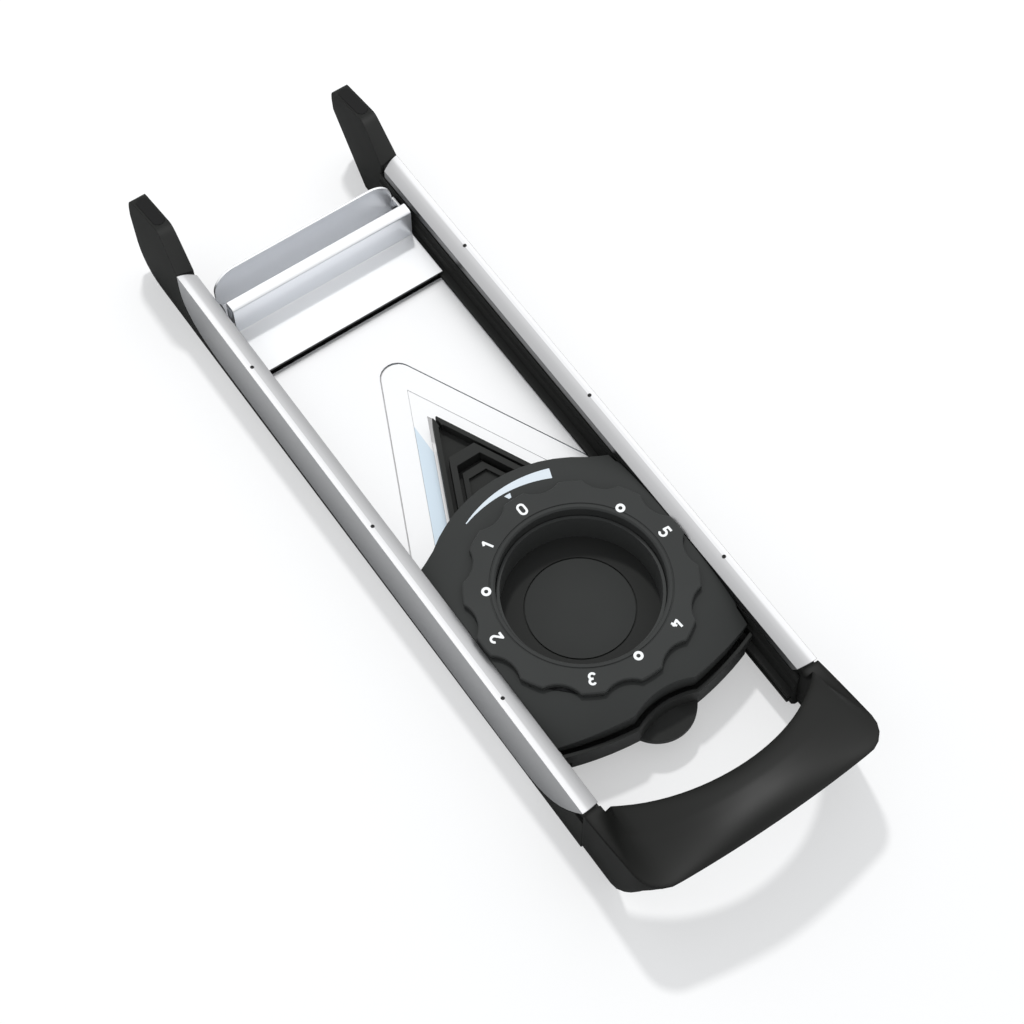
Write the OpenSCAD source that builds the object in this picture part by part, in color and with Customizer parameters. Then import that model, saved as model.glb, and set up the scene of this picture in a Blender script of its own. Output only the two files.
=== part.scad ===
// Mandoline slicer, lying on its rails with the dial side up.
// X runs across the rails, +Y towards the feet, +Z away from the food side.
// The origin is at the centre of the footprint, on the plane the rails rest on.

/* [Body] */
// Width over the two rail covers
body_w = 120; // [110:1:150]
// Length of the rail covers
cover_l = 317; // [300:1:385]
// Height of the rails
rail_h = 37; // [34:0.5:45]
// Reach of the handle past the covers
handle_reach = 49.5; // [44:0.5:62]
// Rise of the grip above the rails
grip_rise = 26.5; // [20:0.5:30]
// Reach of the feet past the covers
foot_reach = 42; // [36:0.5:52]
// Rise of the feet above the rails
foot_rise = 17; // [14:0.5:20]

/* [Rail covers] */
// Width of a cover's top
rail_w = 8.8; // [8:0.2:11]
// Sheet thickness of a cover
cover_t = 1.2; // [0.8:0.1:1.6]
// Depth of a cover's inner lip below its inner edge
lip_h = 5; // [4:0.5:6]
// Diameter of a cover pin
pin_d = 1.6; // [1.2:0.1:2.2]
// Spacing of the cover pins along a rail
pin_pitch = 97.8; // [80:0.2:120]

/* [Deck and blade] */
// Height of the deck's food side above the rail base
food_z = 11.8; // [11:0.2:13]
// Thickness of the deck and of the blade
deck_t = 1.2; // [0.8:0.1:1.5]
// Half angle of the V
v_angle = 25; // [22:1:30]
// Apex of the V opening, from the near end of the covers
v_apex = 203.2; // [195:0.2:230]
// Width of a blade arm, square to its edge
blade_w = 18.3; // [14:0.1:22]
// Width of the ground bevel
bevel_w = 6.9; // [4:0.1:9]
// Gap between the blade edge and the ramp nose
slot_w = 1.4; // [1:0.1:2.5]

/* [Hook bracket] */
// Start of the bracket, from the far end of the covers
bracket_back = 55; // [45:1:65]
// Sheet thickness of the bracket
bracket_t = 1.2; // [0.8:0.1:1.5]
// Depth of the ridge along Y
ridge_d = 6.5; // [5:0.5:9]
// Slot between the ridge and the hook, for a bowl's rim
hook_slot = 10.4; // [8:0.2:14]
// Rise of the hook above the rails
hook_rise = 3; // [0:0.5:8]

/* [Dial] */
// Gap between the dial's lobes and the rail covers
dial_gap = 0.6; // [0.5:0.1:3]
// Depth of a finger scallop
scallop = 3.4; // [2:0.2:4]
// Number of lobes
lobes = 12; // [8:1:16]
// Dial centre, from the near end of the covers
dial_pos = 84.7; // [80:0.1:95]
// Radius of the well
well_r = 34.8; // [30:0.2:35]
// Thickness of the dial's flange
flange_t = 2.8; // [2.4:0.1:3.2]
// Turn of the dial from 0 to its last mark
dial_turn = 300; // [240:10:330]
// Thickness of the thickest slice
lift = 5.5; // [4:0.1:5.5]
// Running gap between moving plastic parts
run_gap = 0.3; // [0.25:0.05:0.4]

/* [Hidden] */
$fn = 64;

black = [0.09, 0.09, 0.09];
dark = [0.16, 0.16, 0.16];
alu = [0.76, 0.77, 0.79];
steel = [0.85, 0.86, 0.88];

fit = 0.2;          // gap between fixed parts that nest
snug = 0.05;        // gap round a pin, rivet or screw in its hole
sunk = 0.01;        // overlap that makes a union or a cut clean
hw = body_w / 2;
y_end = (handle_reach + cover_l + foot_reach) / 2;
y0 = -y_end + handle_reach;     // near end of the covers
y1 = y0 + cover_l;              // far end of the covers
y_dial = y0 + dial_pos;
z_foot = rail_h + foot_rise;

pin_x = hw - 1.9 - pin_d / 2;
pin_rows = [for (k = [-1:1]) (y0 + y1) / 2 + k * pin_pitch];
pin_l = 9;
handle_bolts = [y0 + 6, y0 + 15];
handle_bolt_r = 1.5;

// rails
crown_drop = 3;                 // fall of a cover's top towards the inside
crown_bulge = 0.9;
x_lip = hw - rail_w;            // inner face of the cover
dial_r = x_lip - dial_gap;       // over the lobes
x_wall = x_lip - 1.2;           // lower inner wall of the rail
x_ledge = x_wall - 3;           // inner edge of the ledges that hold the deck
z_lip = rail_h - crown_drop - lip_h;
z_deck = food_z + deck_t;
groove_gap = 0.15;
z_ledge = z_deck + 2;           // top of the upper ledge at its edge
ledge_run = 1.5;                // rise of that ledge towards the wall
panel_z = [1.5, 3.5];           // lower edge of the side panel, near and far
y_tip = y1 + foot_reach;
y_knee = y1 + 0.35 * foot_reach;
foot_lean = 1.3;                // how far a foot's outer face leans in at its sole
sole_a = [y_knee + 3, z_foot - 0.4];    // the sole's flat facet, from the knee to the tip
sole_b = [y_tip - 3.5, z_foot - 4.6];
pad_r = 2.8;
pad_t = 1.4;
pad_sunk = 1.2;

// V and blade
v_tan = tan(v_angle);
v_sin = sin(v_angle);
y_v = y0 + v_apex;
y_v_out = y_v + blade_w / v_sin;
v_round = 8;
seam = 0.35;
grind = 0.15;                   // step where the bevel starts
deck_hw = x_wall - 0.8;

// hook bracket
y_br = y1 - bracket_back;
bracket_hw = x_ledge + 1.3;
z_plate = z_deck + 4;           // top of the bracket's flat
y_ridge = y_br + 25.5;
z_ridge = rail_h - 2;
y_hook = y_ridge + ridge_d + hook_slot + bracket_t / 2;
z_hook = rail_h + hook_rise;
hook_round = 12;
ear_l = 9;
rivet_r = 1.5;
rivet_z = z_plate + 4;
rivet_y = y_hook - 5;

// dial, from its top down
z_rim = rail_h - 0.3;
z_flange = z_rim - flange_t;
sleeve_in = well_r + 1.8;
sleeve_out = sleeve_in + 3.2;
plate_top = z_flange - run_gap;
plate_t = 2.2;
dial_hole = sleeve_out + 0.2;
clip_t = 1.2;
clip_z = plate_top - plate_t - run_gap - clip_t;
clip_out = sleeve_out + 3;
clip_groove = 1;
ring_t = 0.7;                   // friction ring
ring_in = dial_hole + 1;
ring_w = 2.6;
click_r = ring_in + ring_w + 2.6;
click_a = 225;                  // place of the click spring
dimple_r = 1.6;
dial_bevel = 0.6;               // round the dial's top edge

// ramp
pitch = lift * 360 / dial_turn; // rise of the thread in one turn
ramp_t = 2.1;
z_floor = food_z + ramp_t;
ramp_hw = x_ledge - 1.5;
y_nose = y_v - slot_w / v_sin;
z_sleeve = z_floor + 1.5 + lift + 2 * run_gap;  // lower end of the dial's sleeve
collar_out = sleeve_in - 0.4;
collar_top = z_rim - lift - 0.3;
collar_foot = min(collar_out + 9.4, ramp_hw);
thread_h = 1.2;
thread_w = 2.2;
thread_turn = 220;
thread_z = z_sleeve - 2.4;
pitch_lead = 60;                // lead-in of the dial's thread
skirt_t = 1.6;
rim_w = 2.2;                    // rim along the nose, square to it
rim_h = 5.4;
skirt_z = rail_h - 13;
near_r = 143;                   // plan radius of the near edge
near_y = y_dial - 64.75;        // its foremost point
notch_r = 35.6;
notch_d = 4;                    // depth of the thumb notch
groove_w = 4;                   // between the skirt and the housing
tab_r = 17.5;
tab_y = near_y + 9.9;
disc_r = 24;
guide_r = 2;
guide_gap = 0.06;
guides = [[30, 41], [36, -38]];
boss_r = 4;
boss_h = 10;
z_guide_tip = z_floor + lift + run_gap;
z_boss = z_floor + boss_h + lift + run_gap;
collar_bolt_r = sleeve_out + 3.6;
collar_bolts = [45:90:315];

// housing
house_r = 66.5;                 // far edge, about the dial
house_side = x_wall - fit;
house_cap = x_lip - fit;
wall_t = 2.2;
z_house = z_floor + 3 + lift + run_gap;         // lower edge of the housing's walls
house_bolts = [y_v - deck_hw / v_tan - 7 - y_dial, -42];
bolt_x = x_ledge + 1.5;
bolt_r = 1.1;
bolt_head_r = 1.7;
bolt_seat = z_deck + groove_gap + 0.3;

// handle: plan of the grip, then heights at its middle
grip_in = 25.4;                  // inner edge past the covers, at the middle
grip_gap = 6;                   // inner edge past the covers, at the arms
grip_bow = 4;                    // bow of the nose in plan
grip_corner = 13;
grip_edge = 61;                 // height of its inner edge
grip_nose = 49.7;               // height of its outer edge
grip_low = 45;                  // height of its underside
tenon = [4.6, 20, 21];          // thickness, length and height of a handle tenon
tenon_z = 7.5;
tenon_x = x_lip + 1.2;

// ---- shared functions ----

function bez(p, n = 8) = [for (i = [0:n]) let (t = i / n, s = 1 - t)
    s * s * s * p[0] + 3 * s * s * t * p[1] + 3 * s * t * t * p[2] + t * t * t * p[3]];
function arc(c, r, a0, a1, n = 8) = [for (i = [0:n]) let (a = a0 + (a1 - a0) * i / n)
    c + r * [cos(a), sin(a)]];
function unit(v) = v / norm(v);
function left_of(v) = [-v[1], v[0]];

// a path with each inner corner turned into an arc of radius r
function round_path(p, r, n = 4) = [for (i = [0:len(p) - 1])
    if (i == 0 || i == len(p) - 1) p[i]
    else let (
        u = unit(p[i - 1] - p[i]),
        v = unit(p[i + 1] - p[i]),
        half = acos(u * v) / 2,
        c = p[i] + unit(u + v) * r / sin(half),
        a = c + left_of(u) * r * sign(u[0] * v[1] - u[1] * v[0]) * -1,
        a0 = atan2(a[1] - c[1], a[0] - c[0]),
        turn = (180 - 2 * half) * sign(u[0] * v[1] - u[1] * v[0]) * -1
    ) each arc(c, r, a0, a0 + turn, n)];

// a path moved sideways by d, as one face of a bent sheet
function side_path(p, d) = [for (i = [0:len(p) - 1]) let (
        a = i == 0 ? p[1] - p[0] : p[i] - p[i - 1],
        b = i == len(p) - 1 ? a : p[i + 1] - p[i],
        m = unit(left_of(unit(a)) + left_of(unit(b)))
    ) p[i] + m * d / (m * left_of(unit(a)))];
function flip(p) = [for (i = [len(p) - 1:-1:0]) p[i]];

// top of a cover at distance u (0 to 1) from its outer edge
function crown(u) = rail_h - crown_drop * u + crown_bulge * 4 * u * (1 - u);
function crown_line(x_a, x_b, down, n = 6) = [for (i = [0:n]) let (x = x_a + (x_b - x_a) * i / n)
    [x, crown((hw - x) / rail_w) - down]];

// V outline with a rounded apex at y, open towards -Y
function v_shape(y, r, x_end, y_end) = concat(
    [[-x_end, y_end], [-x_end, y - x_end / v_tan]],
    flip(arc([0, y - r / v_sin], r, v_angle, 180 - v_angle)),
    [[x_end, y - x_end / v_tan], [x_end, y_end]]);

// side panel outline in Y and Z, grown by g
function panel(g = 0) = concat(
    bez([[y0 - g, rail_h + 1], [y0 + 14.5 - g, 11 - g], [y0 + 25, panel_z[0] - g],
        [y0 + 41, panel_z[0] - g]]),
    bez([[y1 - 32, panel_z[1] - g], [y1 - 12, panel_z[1] - g], [y1 + g, 12 - g], [y1 + g, 27]]),
    [[y1 + g, rail_h + 1]]);

// ---- shared modules ----

// extrude a shape drawn in Y and Z along X
module along_x(x_a, x_b)
    translate([x_a, 0, 0]) rotate([90, 0, 90]) linear_extrude(x_b - x_a) children();

// extrude a shape drawn in X and Z along Y
module along_y(y_a, y_b)
    translate([0, y_b, 0]) rotate([90, 0, 0]) linear_extrude(y_b - y_a) children();

module both_sides() {
    children();
    mirror([1, 0, 0]) children();
}

module at_dial() translate([0, y_dial, 0]) children();

module ring(r_in, r_out, z_a, z_b) {
    difference() {
        translate([0, 0, z_a]) cylinder(r = r_out, h = z_b - z_a);
        translate([0, 0, z_a - 1]) cylinder(r = r_in, h = z_b - z_a + 2);
    }
}

// helical bar about Z: section r_a to r_b and w high, z at its start, over turn degrees
module helix(r_a, r_b, w, z, turn) {
    n = ceil(turn / 10);
    rings = [for (i = [0:n]) let (a = turn * i / n, c = z + pitch * a / 360, u = [cos(a), sin(a)])
        each [concat(u * r_a, c - w / 2), concat(u * r_b, c - w / 2),
            concat(u * r_b, c + w / 2), concat(u * r_a, c + w / 2)]];
    sides = [for (i = [0:n - 1], k = [0:3]) let (a = 4 * i + k, b = 4 * i + (k + 1) % 4)
        [b, b + 4, a + 4, a]];
    polyhedron(rings, concat([[3, 2, 1, 0]], sides, [[4 * n, 4 * n + 1, 4 * n + 2, 4 * n + 3]]));
}

// a bent sheet's section, t thick about its path
module sheet(path, t) {
    polygon(concat(side_path(path, t / 2), flip(side_path(path, -t / 2))));
}

module screw(r, l, head_r, head_h) {
    translate([0, 0, -sunk]) cylinder(r = r, h = l + sunk);
    translate([0, 0, -head_h]) cylinder(r = head_r, h = head_h);
}

// ---- rails ----

module rail_section() {
    x_core = hw - cover_t - fit;
    polygon(concat(
        [[x_wall + 3, 0], [x_core, 0]],
        crown_line(x_core, x_lip + cover_t + fit, cover_t + fit),
        [[x_lip + cover_t + fit, z_lip - fit], [x_wall + 0.8, z_lip - fit],
        [x_wall + 0.8, z_lip - 5], [x_wall, z_lip - 6],
        [x_wall, z_ledge + ledge_run], [x_ledge, z_ledge], [x_ledge, z_deck + groove_gap],
        [deck_hw + fit, z_deck + groove_gap], [deck_hw + fit, food_z - groove_gap],
        [x_ledge, food_z - groove_gap], [x_ledge, food_z - 2.2],
        [x_wall + 0.4, food_z - 3.8], [x_wall + 0.4, 3.5]]));
}

// the foot's side view: flat base, curled up to a sole facet
module foot_side() {
    polygon(concat(
        [[y1 + fit, 0]],
        bez([[y_tip - 20, 0], [y_tip - 6.5, 0], [y_tip - 1.6, 9], [y_tip - 1.2, 24]], 7),
        bez([[y_tip, z_foot - 14], [y_tip + 0.3, z_foot - 9], [y_tip - 0.4, z_foot - 5.2], sole_b], 5),
        bez([sole_a, [y_knee + 1, z_foot + 0.1], [y_knee - 0.6, z_foot - 0.4],
            [y_knee - 2.2, z_foot - 2.4]], 5),
        [[y1 + fit, rail_h + 0.2]]));
}

// the foot's front view: its outer face leans in above the rail
module foot_front() {
    polygon([[x_lip, -1], [hw, -1], [hw, rail_h], [hw - foot_lean, z_foot + 1], [x_lip, z_foot + 1]]);
}

// the foot's back falls inwards like the covers, less and less towards the knee
module back_fall() {
    o = [hw + 0.5, y1, rail_h + 0.4];
    low = [x_lip - 1, y1, rail_h - crown_drop];
    knee = [x_lip - 1, y_knee - 1, z_foot - 0.5];
    polyhedron([o, low, knee, [x_lip - 1, y1, z_foot]], [[2, 1, 0], [1, 3, 0], [2, 3, 1], [3, 2, 0]]);
}

// slant that thins the foot's lower inner edge where its base curls up
module curl_slant() {
    k = 2;
    translate([x_lip, y_tip - 25, 0]) rotate([54.5, 0, 0]) along_y(-30, 60)
        polygon([[-2, 2 * k], [9, -9 * k], [-2, -9 * k]]);
}

// round-ended pad let into the sole, grown by g
module sole_pad(g) {
    along = sole_b - sole_a;
    reach = norm(along) - pad_r;
    translate([(x_lip + hw - foot_lean) / 2, sole_a[0], sole_a[1]]) rotate([atan2(along[1], along[0]), 0, 0])
        translate([0, 0, -pad_sunk - g]) {
            for (y = [pad_r, reach]) translate([0, y, 0]) cylinder(r = pad_r + g, h = pad_t + g);
            translate([-pad_r - g, pad_r, 0]) cube([2 * pad_r + 2 * g, reach - pad_r, pad_t + g]);
        }
}

module rail() {
    x_skin = hw - cover_t - 2 * fit;
    difference() {
        union() {
            along_y(y0 + fit, y1 + 1) rail_section();
            along_x(x_skin, hw) difference() {
                translate([y0 + fit, 0]) square([cover_l + 1 - fit, rail_h - 10]);
                polygon(panel(0.3));
            }
            difference() {
                intersection() {
                    along_x(x_lip, hw) foot_side();
                    along_y(y1, y_tip + 1) foot_front();
                }
                back_fall();
                curl_slant();
            }
        }
        sole_pad(snug);
        // pocket for the handle's tenon
        translate([tenon_x - fit, y0 - 1, tenon_z - fit])
            cube([tenon[0] + 2 * fit, tenon[1] + 1 + fit, tenon[2] + 2 * fit]);
        for (y = handle_bolts) translate([tenon_x + tenon[0] / 2, y, -1]) {
            cylinder(r = handle_bolt_r + 0.2, h = tenon_z + 2);
            cylinder(r = 3, h = 4);
        }
        for (y = pin_rows) translate([pin_x, y, rail_h - pin_l]) cylinder(d = pin_d + 2 * snug, h = 12);
        // housing bolts pass up through the ledges
        for (y = house_bolts) translate([bolt_x, y_dial + y, food_z - 6]) {
            cylinder(r = bolt_r + 0.1, h = 12);
            cylinder(r = bolt_head_r + 0.15, h = bolt_seat - food_z + 6);
        }
        translate([x_wall - 1, rivet_y, rivet_z]) rotate([0, 90, 0]) cylinder(r = rivet_r + snug, h = 6);
    }
}

module right_rail() color(black) rail();
module left_rail() color(black) mirror([1, 0, 0]) rail();

// ---- rail covers ----

module cover() {
    difference() {
        intersection() {
            along_y(y0, y1) polygon(concat(
                [[hw - cover_t, 0], [hw, 0]],
                crown_line(hw, x_lip, 0),
                [[x_lip, z_lip], [x_lip + cover_t, z_lip]],
                crown_line(x_lip + cover_t, hw - cover_t, cover_t)));
            along_x(x_lip - 1, hw + 1) polygon(panel());
            // the far end falls back a little towards the inner edge
            linear_extrude(rail_h + 2) polygon(concat(
                [[x_lip - 1, y0 - 1], [hw + 1, y0 - 1]],
                bez([[hw + 1, y1 + 0.2], [hw - 2, y1 - 0.1], [x_lip + 3, y1 - 1.2],
                    [x_lip - 1, y1 - 3]], 5)));
        }
        for (y = pin_rows) translate([pin_x, y, rail_h - 6]) cylinder(d = pin_d + 2 * snug, h = 12);
    }
}

module right_cover() color(alu) cover();
module left_cover() color(alu) mirror([1, 0, 0]) cover();

module cover_pins() color(dark) both_sides()
    for (y = pin_rows) translate([pin_x, y, rail_h - pin_l]) cylinder(d = pin_d, h = pin_l - 0.5);

// ---- handle ----

// share of a change that runs from t = a to t = b
function ease(t, a, b, p) = t <= a ? 0 : pow(sin(90 * min(1, (t - a) / (b - a))), p);

// The grip is a loft. Each section spans from a point of the inner edge to one of the outer edge,
// and t runs from an arm's root (0) round the corner to the middle (1).
grip_y = y0 - handle_reach;
bend_y = grip_y + grip_bow * pow(1 - grip_corner / hw, 2) + grip_corner;
arm_l = y0 - bend_y;
bend_l = grip_corner * PI / 2;
nose_l = hw - grip_corner;
t_fan = 0.47;                   // up to here the sections fan about the inner corner

function outer_at(t) = let (
        s = t * (arm_l + bend_l + nose_l),
        a = 90 * (s - arm_l) / bend_l,
        x = arm_l + bend_l + nose_l - s
    ) s < arm_l ? [hw, y0 - s] :
    a < 90 ? [nose_l, bend_y] + grip_corner * [cos(a), -sin(a)] :
    [x, grip_y + grip_bow * pow(x / hw, 2)];
function inner_at(t) = let (
        h = grip_in - grip_gap,
        r = (x_lip * x_lip + h * h) / (2 * h),
        x = x_lip * (1 - max(0, t - t_fan) / (1 - t_fan))
    ) [x, t < t_fan ? y0 - grip_gap * t / t_fan : y0 - grip_in + r - sqrt(r * r - x * x)];

// closed section at t: u is 0 at the inner edge and 1 at the outer edge
function grip_section(t) = let (
        z_a = rail_h - crown_drop + (grip_edge - rail_h + crown_drop) * ease(t, 0.22, 1, 1),
        z_t = rail_h - 0.6 + (grip_rise + 0.6) * ease(t, 0.06, 1, 1.84),
        z_b = rail_h - 0.5 + (grip_nose - rail_h + 0.5) * ease(t, 0, 1, 0.9),
        z_l = grip_low * ease(t, 0.2, 0.48, 2.5),
        f = ease(t, 0.2, 1, 1)
    ) [for (p = concat(
        bez([[0, z_a], [0, z_a + 0.35 * (z_t - z_a) + 1], [0.19, z_t], [0.37, z_t]], 5),
        bez([[0.38, z_t], [0.75, z_t], [1, (z_b + z_t) / 2], [1, z_b]], 6),
        bez([[1, z_b - 0.3], [1, z_b - 1.5 * f - 0.8 * (1 - f) * (z_b - z_l)], [1.09 - 0.1 * f, z_l],
            [0.8 - 0.1 * f, z_l]], 5),
        bez([[0.5, z_l], [0.22 - 0.1 * f, z_l], [0, z_l + 2 + 0.2 * (z_a - z_l)], [0, z_a - 0.4]], 5)
    )) [p[0], max(0, p[1])]];

module grip() {
    n = 24;
    secs = [for (i = [-n:n]) let (t = 1 - abs(i) / n, a = inner_at(t), b = outer_at(t), side = i < 0 ? -1 : 1)
        [for (q = grip_section(t)) let (p = a + (b - a) * q[0]) [side * p[0], p[1], q[1]]]];
    m = len(secs[0]);
    sides = [for (i = [0:2 * n - 1], k = [0:m - 1]) let (a = m * i + k, b = m * i + (k + 1) % m)
        [a, a + m, b + m, b]];
    polyhedron([for (s = secs) each s],
        concat([[for (k = [0:m - 1]) k]], sides, [[for (k = [m - 1:-1:0]) 2 * n * m + k]]));
}

module handle() color(black) {
    difference() {
        union() {
            grip();
            both_sides() translate([tenon_x, y0 - 3, tenon_z]) cube([tenon[0], tenon[1] + 3, tenon[2]]);
        }
        both_sides() for (y = handle_bolts)
            translate([tenon_x + tenon[0] / 2, y, tenon_z - 1]) cylinder(r = handle_bolt_r + snug, h = 13);
    }
}

module handle_screws() color(steel) both_sides() for (y = handle_bolts)
    translate([tenon_x + tenon[0] / 2, y, 3]) screw(handle_bolt_r, 15, 2.8, 1.8);

// ---- deck and blade ----

module deck_plate() color(steel) translate([0, 0, food_z]) linear_extrude(deck_t)
    difference() {
        translate([-deck_hw, y_v_out - deck_hw / v_tan])
            square([2 * deck_hw, y_ridge - y_v_out + deck_hw / v_tan]);
        polygon(v_shape(y_v_out, v_round, deck_hw + 5, y_v - 200));
    }

// one arm of the blade, lying along +X of its own frame, edge at Y = 0
module blade_arm() {
    l = 2 * deck_hw / v_sin;
    intersection() {
        translate([0, y_v, food_z]) rotate([0, 0, v_angle - 90])
            along_x(-30, l) polygon([[0, 0], [blade_w + 30, 0], [blade_w + 30, deck_t],
                [bevel_w, deck_t], [bevel_w, deck_t - grind], [0, 0.12]]);
        translate([0, y_v - 200, 0]) cube([deck_hw, 300, rail_h]);
    }
}

module v_blade() color(steel) intersection() {
    both_sides() blade_arm();
    translate([0, 0, food_z - 1]) linear_extrude(deck_t + 2)
        polygon(v_shape(y_v_out - seam / v_sin, v_round, deck_hw, y_v - 200));
}

// ---- hook bracket ----

module hook_bracket() color(steel) {
    t = bracket_t;
    path = round_path([
        [y_br, z_plate - t / 2], [y_ridge + t / 2, z_plate - t / 2], [y_ridge + t / 2, z_ridge - t / 2],
        [y_ridge + ridge_d - t / 2, z_ridge - t / 2], [y_ridge + ridge_d - t / 2, z_plate - t / 2],
        [y_hook, z_plate - t / 2], [y_hook, z_hook]], 1.2);
    difference() {
        union() {
            along_x(-bracket_hw, bracket_hw) sheet(path, t);
            // ears bent forward from the hook, flat against the rails
            both_sides() {
                translate([x_wall - t, y_hook - ear_l, z_plate + 1]) cube([t, ear_l + t / 2, 7]);
                translate([bracket_hw - 3, y_hook - t / 2, z_plate + 1])
                    cube([x_wall - bracket_hw + 3 - 0.01, t, 7]);
            }
        }
        both_sides() {
            translate([bracket_hw - hook_round, y_hook + 2, z_hook - hook_round])
            rotate([90, 0, 0]) difference() {
                cube([hook_round + 1, hook_round + 1, 4]);
                translate([0, 0, -1]) cylinder(r = hook_round, h = 6);
            }
            translate([x_wall - 4, rivet_y, rivet_z]) rotate([0, 90, 0]) cylinder(r = rivet_r + snug, h = 6);
        }
    }
}

module bracket_rivets() color(dark) both_sides()
    translate([x_wall - bracket_t, rivet_y, rivet_z]) rotate([0, 90, 0]) screw(rivet_r, 5.5, 2.6, 1);

// ---- housing ----

// space inside the near edge, moved in by g, with the thumb notch
module near_shape(g, z_a, z_b) {
    difference() {
        translate([0, near_y + near_r, z_a]) cylinder(r = near_r - g, h = z_b - z_a, $fn = 180);
        translate([0, near_y + notch_d - notch_r, z_a - 1])
            cylinder(r = notch_r + g, h = z_b - z_a + 2, $fn = 96);
    }
}

// plan of the housing, moved in by g, with half width w
module house_plan(g, w) {
    a = 38;
    polygon(concat(
        [[-w + g, near_y - 5], [-w + g, y_dial + 48.6 - g], [-46.5, y_dial + 49.8 - g]],
        flip(arc([0, y_dial], house_r - g, 90 - a, 90 + a, 12)),
        [[46.5, y_dial + 49.8 - g], [w - g, y_dial + 48.6 - g], [w - g, near_y - 5]]));
}

// the dome falls away from the flat round the dial
module dome(down) {
    r = dial_r + 0.4;
    z = plate_top - down;
    at_dial() rotate_extrude($fn = 128)
        polygon(concat([[0, 0], [0, z]],
            bez([[r, z], [r + 8, z - 0.9], [r + 18, z - 5.2], [r + 27, z - 11]], 11), [[r + 27, 0]]));
}

// solid form of the housing, moved in by g and with its floor at z
module house_form(g, z) {
    intersection() {
        dome(g);
        union() {
            translate([0, 0, z]) linear_extrude(z_lip + sunk - z) house_plan(g, house_side);
            translate([0, 0, z_lip]) linear_extrude(rail_h) house_plan(g, house_cap);
        }
        near_shape(groove_w + g, z, rail_h);
    }
}

module housing() color(black) {
    difference() {
        union() {
            difference() {
                house_form(0, z_house);
                difference() {
                    house_form(wall_t, z_house - 1);
                    // floor of the top plate stays flat round the dial
                    at_dial() translate([0, 0, plate_top - plate_t]) cylinder(r = dial_r + 2, h = 10);
                }
            }
            // side walls stand on the rail ledges
            intersection() {
                both_sides() for (y = house_bolts)
                    translate([ramp_hw + run_gap, y_dial + y - 5, z_ledge + ledge_run + 0.1])
                        cube([house_side - ramp_hw - run_gap, 10, z_house - z_ledge]);
                house_form(0, 0);
            }
            for (g = guides) both_sides() translate([g[0], y_dial + g[1], z_boss])
                cylinder(r = boss_r, h = plate_top - plate_t - z_boss + sunk);
        }
        at_dial() {
            translate([0, 0, z_house]) cylinder(r = dial_hole, h = rail_h);
            ring(ring_in - 0.1, ring_in + ring_w + 0.1, plate_top - ring_t + 0.25, rail_h);
            click_pocket();
        }
        for (g = guides) both_sides() translate([g[0], y_dial + g[1], z_boss - 1])
            cylinder(r = guide_r + snug, h = plate_top - z_boss - 0.2);
        both_sides() for (y = house_bolts)
            translate([bolt_x, y_dial + y, z_ledge]) cylinder(r = bolt_r + snug, h = 9);
    }
}

module housing_screws() color(steel) both_sides() for (y = house_bolts)
    translate([bolt_x, y_dial + y, bolt_seat]) screw(bolt_r, 9, bolt_head_r, 1.2);

// ---- click spring ----

module click_pocket() rotate([0, 0, click_a]) translate([click_r - 2.6, -14, plate_top - 1.2]) {
    cube([5.2, 26, 3]);
    translate([2.6, 4, -2]) cylinder(r = 0.9, h = 3);
}

// a leaf with a bent-up bump that drops into the dial's dimples
module click_spring() color(steel) at_dial() rotate([0, 0, click_a]) {
    z = plate_top - 1.05;
    path = round_path([[-13.5, z], [-4, z], [-2, z + 0.5], [0, z + 1.05], [2, z + 0.5], [4, z],
        [11, z]], 0.8);
    difference() {
        along_x(click_r - 2.2, click_r + 2.2) sheet(path, 0.3);
        translate([click_r, -10, z - 1]) cylinder(r = 0.95, h = 3);
    }
}

module click_screw() color(steel) at_dial() rotate([0, 0, click_a])
    translate([click_r, -10, plate_top - 0.88]) mirror([0, 0, 1]) screw(0.9, 2.2, 1.7, 0.7);

module friction_ring() color([0.8, 0.8, 0.76]) at_dial()
    ring(ring_in, ring_in + ring_w, plate_top - ring_t + 0.25, z_flange - 0.04);

module guide_pins() color(steel) for (g = guides) both_sides()
    translate([g[0], y_dial + g[1], z_guide_tip]) cylinder(r = guide_r, h = plate_top - 1.2 - z_guide_tip);

// ---- feet ----

module right_foot_pad() color(dark) sole_pad(0);
module left_foot_pad() color(dark) mirror([1, 0, 0]) sole_pad(0);

// ---- dial ----

// lobed outline: narrow lobes with broad hollows between
module lobed_disc() {
    step = 360 / lobes;
    hollow = 13;
    difference() {
        rotate_extrude($fn = 96) polygon([[0, 0], [dial_r, 0], [dial_r, flange_t - dial_bevel],
            [dial_r - dial_bevel, flange_t], [0, flange_t]]);
        for (i = [0:lobes - 1])
        rotate([0, 0, (i + 0.5) * step]) translate([0, dial_r - scallop + hollow, 0]) {
            translate([0, 0, -1]) cylinder(r = hollow, h = flange_t + 2);
            translate([0, 0, flange_t - 0.9]) cylinder(r1 = hollow - 0.4, r2 = hollow + 0.6, h = 1);
        }
    }
}

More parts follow.
